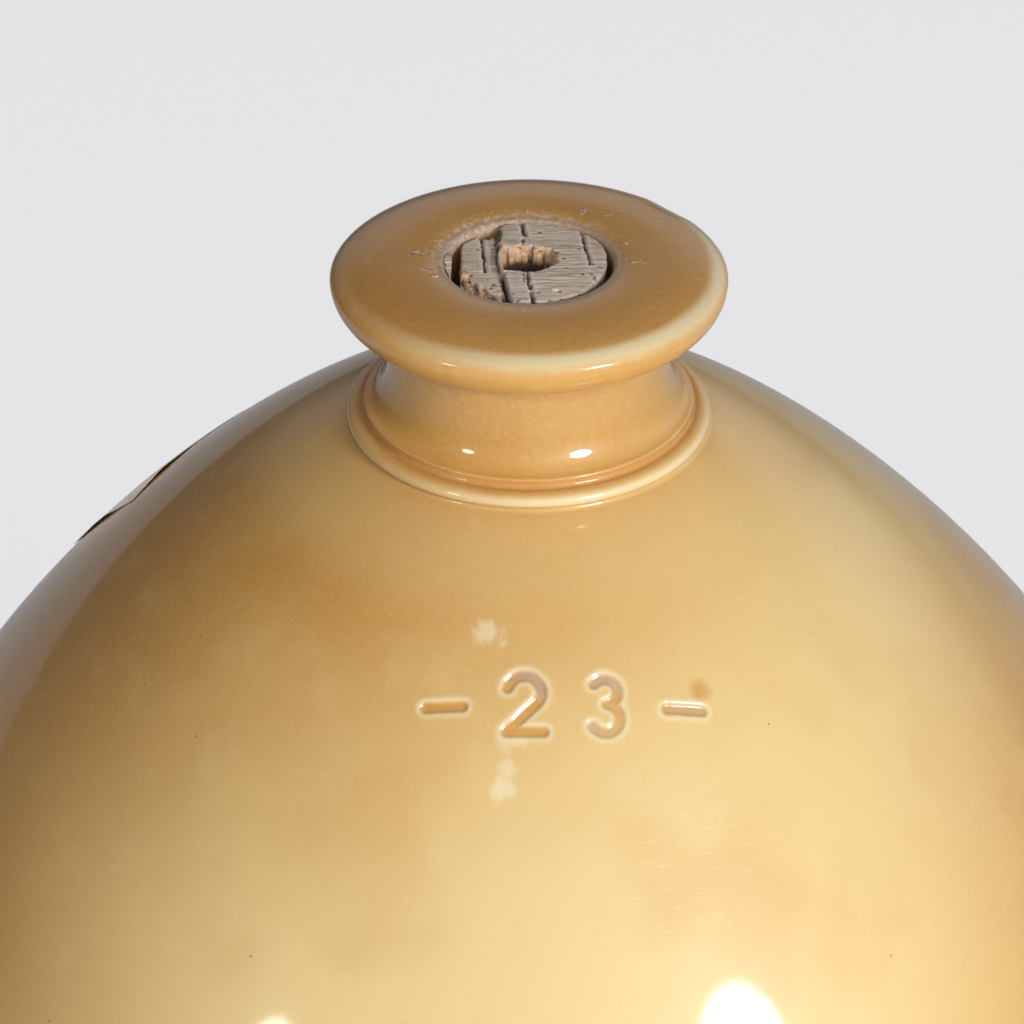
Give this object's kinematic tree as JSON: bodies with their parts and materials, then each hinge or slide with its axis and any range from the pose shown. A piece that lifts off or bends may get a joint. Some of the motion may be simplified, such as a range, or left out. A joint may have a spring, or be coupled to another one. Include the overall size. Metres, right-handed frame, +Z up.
{
  "type": "stoneware jar",
  "caption": "Narrow-necked stoneware storage jar with a domed shoulder, beaded collar, rolled lip and a weathered cork bung that pulls out of its mouth.",
  "frame": {"origin": "centre of the flat foot, on the surface that the jar stands on", "axes": "+Z up the jar's axis through the mouth, -Y towards the front that the picture shows, +X to the viewer's right"},
  "size_m": [0.3, 0.3, 0.47],
  "materials": {
    "honey_glaze": "glossy honey-amber salt glaze, pale on thin edges, dark where it pools",
    "weathered_cork": "dry, grey, cracked cork with fresh tan breaks",
    "label_paper": "matt off-white paper, lifting at its edges"
  },
  "bodies": {
    "jar": {"stoneware_jar": "honey_glaze", "cork_sliver": "weathered_cork", "paper_label": "label_paper"},
    "bung": {"cork_bung": "weathered_cork"}
  },
  "joints": [
    {"name": "bung_pull", "type": "slide", "parent": "jar", "child": "bung", "axis": [0, 0, 1], "range_m": [0, 0.05]}
  ]
}
